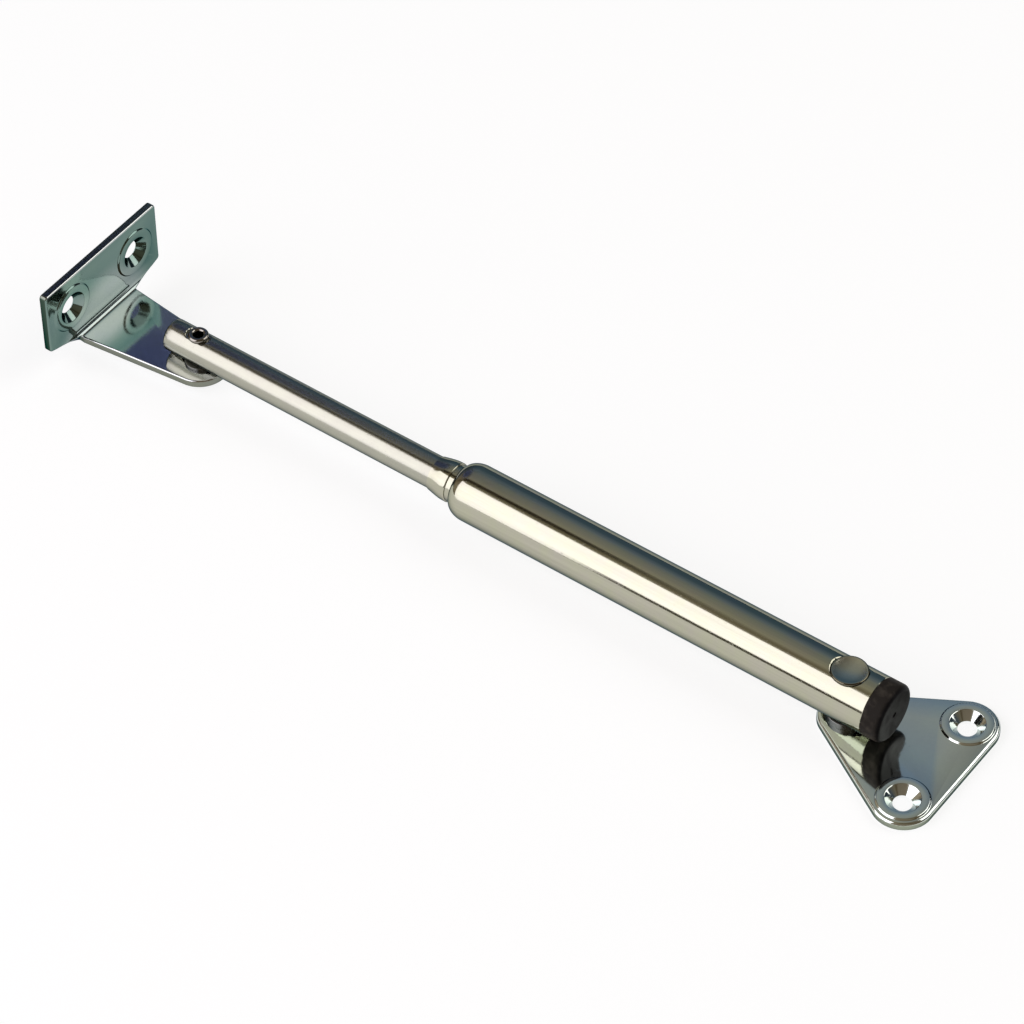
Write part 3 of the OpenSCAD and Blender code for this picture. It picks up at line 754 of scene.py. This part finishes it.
# Stop buffer
# A moulded ring of black rubber behind the stop washer. It softens the stop when the rod is
# pulled right out.
rubber = plastic("black_rubber_ring", (0.015, 0.015, 0.015), (0.04, 0.04, 0.038), rough=0.65,
                 relief=0.02 * mm)
dress("stop_buffer", rubber)

# Spring
# Hard-drawn steel wire coiled with one closed turn at each end. It pushes on the washer behind
# the piston, so the real spring shortens as the rod goes in; here the coil is built at one fixed
# length.
spring_steel = metal("spring_wire", (0.42, 0.41, 0.38), (0.30, 0.28, 0.25), film_share=0.5,
                     grain=(900, 900, 900), grain_depth=0.12, cloud_size=300.0, rough=0.25,
                     rough_spread=0.1, relief=0.006 * mm)
wire = 1.0 * mm
coil_radius = 5.15 * mm
spring_start = 30.6 * mm
spring_end = 99.4 * mm
spring_turns = 12
turn_points = 24
closed_pitch = 1.05 * mm
open_pitch = (spring_end - spring_start - 2 * closed_pitch) / (spring_turns - 2)
bpy.ops.object.select_all(action="DESELECT")
path = bpy.data.curves.new("spring_path", "CURVE")
path.dimensions = "3D"
path.bevel_depth = wire / 2
path.bevel_resolution = 2
path.use_fill_caps = True
line = path.splines.new("POLY")
line.points.add(spring_turns * turn_points)
for i, point in enumerate(line.points):
    t = i / turn_points
    along = (min(t, 1) * closed_pitch + max(min(t, spring_turns - 1) - 1, 0) * open_pitch
             + max(t - spring_turns + 1, 0) * closed_pitch)
    point.co = (spring_start + along, coil_radius * math.cos(2 * math.pi * t),
                axis_z + coil_radius * math.sin(2 * math.pi * t), 1)
spring = bpy.data.objects.new("spring_coil", path)
bpy.context.scene.collection.objects.link(spring)
spring.select_set(True)
bpy.context.view_layer.objects.active = spring
bpy.ops.object.convert(target="MESH")
spring = bpy.context.object
merge_near(hair)
face_out()
hand_over(spring, "tube", spring_steel, ["spring"], smooth=60)
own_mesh(spring)

# Spring seat
# A moulded plug of white acetal that rests against the base rivet. Its nose centres the spring.
white_acetal = plastic("white_acetal", (0.70, 0.69, 0.65), (0.62, 0.60, 0.55), rough=0.4,
                       relief=0.006 * mm)
dress("spring_seat", white_acetal)

# Piston
# A turned piston of white acetal on the rod's spigot, with a groove for its ring. A washer lies
# before it and another behind it, and the retaining clip holds all three.
dress("piston", white_acetal)

# Piston ring
# A ring of black rubber stretched into the piston's groove. It rubs in the tube's bore and
# brakes the stroke.
dress("piston_ring", rubber)

# Thrust washer
# A flat steel washer between the rod's shoulder and the piston. The rod turns on it.
dress("thrust_washer", washer_steel)

# Spring follower
# A flat steel washer on the spigot behind the piston. It takes the spring's push.
dress("spring_follower", washer_steel)

# Retaining clip
# An open clip of spring steel snapped into the spigot's groove. It holds the piston on the rod.
dress("retaining_clip", spring_steel)

# Rod
# Ground round bar, bright plated, turned down to a spigot inside the tube. Its free end is
# chamfered, milled flat above and below, and drilled across for the lid rivet.
rod_back = 98.2 * mm
clip_groove = 99.0 * mm
clip_groove_end = 99.9 * mm
rod_step = 110.4 * mm
rod_tip = 212 * mm
rod_radius = 4 * mm
spigot_radius = 2.5 * mm
rod_flat_z = 3.5 * mm
lid_pivot_x = 204 * mm


def rod_profile():
    points = [(rod_back, 0.0), (rod_back, 2.4 * mm), (rod_back + 0.1 * mm, spigot_radius),
              (clip_groove, spigot_radius), (clip_groove, 2.0 * mm),
              (clip_groove_end, 2.0 * mm), (clip_groove_end, spigot_radius),
              (rod_step, spigot_radius), (rod_step, 3.8 * mm), (rod_step + 0.2 * mm, rod_radius)]
    points += [(x * mm, rod_radius) for x in (125, 140, 155, 170, 185, 195)]
    points += [(lid_pivot_x + 0.2 * mm * i, rod_radius) for i in range(-25, 26)]
    points += [(rod_tip - 0.56 * mm, rod_radius), (rod_tip - 0.47 * mm, 3.96 * mm),
               (rod_tip - 0.04 * mm, 3.53 * mm), (rod_tip, 3.44 * mm), (rod_tip, 0.0)]
    return points


bright_rod = metal("bright_rod", (0.41, 0.405, 0.335), (0.385, 0.37, 0.32), film_share=0.5,
                   grain=(60, 1500, 1500), grain_depth=0.08, cloud_size=300.0, rough=0.20,
                   rough_spread=0.05)
rod = spin_profile("rod_bar", rod_profile(), (0, 0, axis_z), "X", steps=160, closed=False)
press_flat(rod, lid_pivot_x, radius=3.0 * mm, height=rod_flat_z, soft=0.3 * mm, side=1)
press_flat(rod, lid_pivot_x, radius=4.3 * mm, height=rod_flat_z, soft=0.3 * mm, side=-1)
bpy.ops.object.select_all(action="DESELECT")
bpy.ops.mesh.primitive_cylinder_add(vertices=64, radius=1.95 * mm, depth=20 * mm,
                                    location=(lid_pivot_x, 0, axis_z))
cut_with(rod, bpy.context.object)
hand_over(rod, "rod", bright_rod, ["rod"])

# Lid rivet
# A tubular steel rivet through the rod and the bracket's tongue. Its top is rolled over into a
# ring on the rod, and its flanged head lies under the tongue.
flange_low = axis_z - 7.3 * mm
flange_half = 0.45 * mm
flange_middle = 3.05 * mm
lid_shank = 1.9 * mm
roll_low = axis_z + rod_flat_z


def lid_rivet_profile():
    points = [(flange_low + 0.1 * mm, 1.2 * mm), (flange_low, 1.35 * mm),
              (flange_low, flange_middle)]
    points += arc(flange_low + flange_half, flange_middle, flange_half, flange_half, 160, 20, 7)
    points += [(flange_low + 2 * flange_half, flange_middle),
               (flange_low + 2 * flange_half, lid_shank), (roll_low, lid_shank),
               (roll_low, 2.35 * mm)]
    points += arc(roll_low + 0.5 * mm, 1.85 * mm, 0.6 * mm, 0.65 * mm, 108, -90, 14)
    return points


lid_rivet = spin_profile("lid_rivet_tube", lid_rivet_profile(), (lid_pivot_x, 0, 0), "Z",
                         steps=96, closed=True)
rolled_steel = metal("rolled_steel", (0.30, 0.275, 0.24), (0.36, 0.35, 0.32), **headed_finish)
hand_over(lid_rivet, "rod", rolled_steel, ["lid_rivet"])

# Lid washer
# A thin washer of blackened steel between the rod's lower flat and the bracket's tongue. The lid
# rivet passes through it.
lid_rivet_hole = 1.98 * mm
lid_washer_low = axis_z - 4.3 * mm
lid_washer_high = axis_z - 3.6 * mm
lid_washer = spin_profile("lid_washer_ring", washer_profile(
    lid_washer_low, lid_washer_high, lid_rivet_hole, 3.7 * mm),
    (lid_pivot_x, 0, 0), "Z", steps=96, closed=True)
hand_over(lid_washer, "lid", blackened, ["lid_washer"])

# Lid bracket
# Blanked from the same plated sheet as the base plate, then folded: a tongue with a round end
# under the rod, and an upright plate with two pressed, countersunk screw seats.
tongue_low = axis_z - 6.3 * mm
tongue_end = 7.0 * mm
tongue_reach = 27 * mm
tongue_half = 10 * mm
plate_half = 20 * mm
plate_corner = 1.0 * mm
lid_seat = 6.4 * mm
lid_screw_y = 11.5 * mm
lid_rivet_patch = 4.2 * mm
bend_start = lid_pivot_x + tongue_reach
bend_radius = 2.5 * mm
bend_rows = 12
bend_len = 2 * bend_rows * bend_radius * math.sin(math.pi / 4 / bend_rows)
blank_end = bend_start + bend_len + 17.8 * mm
notch_start = bend_start + 1.1 * mm
notch_end = bend_start + 4.53 * mm
touch = math.atan2(tongue_half, tongue_reach) + math.acos(
    tongue_end / math.hypot(tongue_reach, tongue_half))
half_blank = [(bend_start, tongue_half, 4 * mm), (notch_start, tongue_half, 0.6 * mm),
              (notch_end, plate_half, 0.9 * mm), (blank_end, plate_half, plate_corner)]
lid_bracket = blank("lid_bracket_sheet", [
    (lid_pivot_x + tongue_end / math.cos(touch), 0.0, tongue_end),
    *[(x, -y, radius) for x, y, radius in half_blank], *reversed(half_blank)],
    top_round=0.42 * mm)
lid_bracket.location.z = tongue_low
bpy.ops.object.transform_apply(location=True, rotation=True, scale=True)
for i in range(bend_rows + 1):
    bpy.ops.object.mode_set(mode="EDIT")
    bpy.ops.mesh.select_all(action="SELECT")
    bpy.ops.mesh.bisect(plane_co=(bend_start + bend_len * i / bend_rows, 0, 0),
                        plane_no=(1, 0, 0), threshold=hair)
    bpy.ops.object.mode_set(mode="OBJECT")
seat_x = bend_start + bend_len + 8.8 * mm
for y in (lid_screw_y, -lid_screw_y):
    fit_hole(lid_bracket, seat_x, y, tongue_low, lid_seat, seat_profile(lid_seat))
fit_hole(lid_bracket, lid_pivot_x, 0.0, tongue_low, lid_rivet_patch, [
    (sheet, lid_rivet_patch), (sheet, 2.1 * mm), (sheet - 0.1 * mm, lid_rivet_hole),
    (0.1 * mm, lid_rivet_hole), (0.0, 2.1 * mm), (0.0, lid_rivet_patch)])

# The fold: at each row across the bend, what lies beyond it turns up a little more
places = [corner.co.x for corner in lid_bracket.data.vertices]
row_x, row_z, tilt = bend_start, tongue_low + sheet / 2, 0.0
step = math.pi / 2 / bend_rows
for i in range(bend_rows + 1):
    turn = step / 2 if i in (0, bend_rows) else step
    row = bend_start + bend_len * i / bend_rows
    for low, high, angle in ((row - hair, row + hair, turn / 2), (row + hair, 1, turn)):
        pick(lid_bracket, "VERT", lambda corner: low < places[corner.index] <= high)
        bpy.ops.transform.rotate(value=angle, orient_axis="Y", center_override=(row_x, 0, row_z))
        bpy.ops.object.mode_set(mode="OBJECT")
    tilt += turn
    row_x += bend_len / bend_rows * math.cos(tilt)
    row_z += bend_len / bend_rows * math.sin(tilt)
face_out()

# The upright plate gets a darker, greener tone than the tongue, painted shade for the dark
# reflections on its face.
# Beside the fold the tone is weaker, a painted reflection, and along its top edge it is lighter.
plated_bracket = metal("plated_bracket", (0.62, 0.635, 0.61), (0.58, 0.59, 0.62),
                       **plated_finish)
tree = plated_bracket.node_tree
where = add_node(tree, "ShaderNodeTexCoord", (-900, 450))
parts = add_node(tree, "ShaderNodeSeparateXYZ", (-700, 450), {0: where.outputs["Object"]})
fold_reflection_spot = add_node(tree, "ShaderNodeVectorMath", (-700, 850), {
    0: where.outputs["Object"], 1: (0.2325, 0.0, 0.002)}, operation="DISTANCE")
upright = fade(tree, (-500, 650), parts.outputs["X"], start=230.8 * mm, full=231.8 * mm)
outside_fold_reflection = fade(tree, (-500, 900), fold_reflection_spot.outputs["Value"], start=10 * mm, full=18 * mm,
                low=0.6, curve="SMOOTHSTEP")
off_top = fade(tree, (-350, 1050), parts.outputs["Z"], start=24.55 * mm, full=24.25 * mm,
               low=0.15)
upright_painted_shade = reckon(tree, "MULTIPLY", (-350, 750), upright, outside_fold_reflection)
painted_shade_mask = reckon(tree, "MULTIPLY", (-200, 850), upright_painted_shade, off_top)
# The tone is painted shade, weakened beside the fold as a painted reflection.
tone_where(plated_bracket, painted_shade_mask, (0.27, 0.385, 0.35))
bare_edges(plated_bracket)
hand_over(lid_bracket, "lid", plated_bracket, ["lid_bracket"])

low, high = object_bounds()
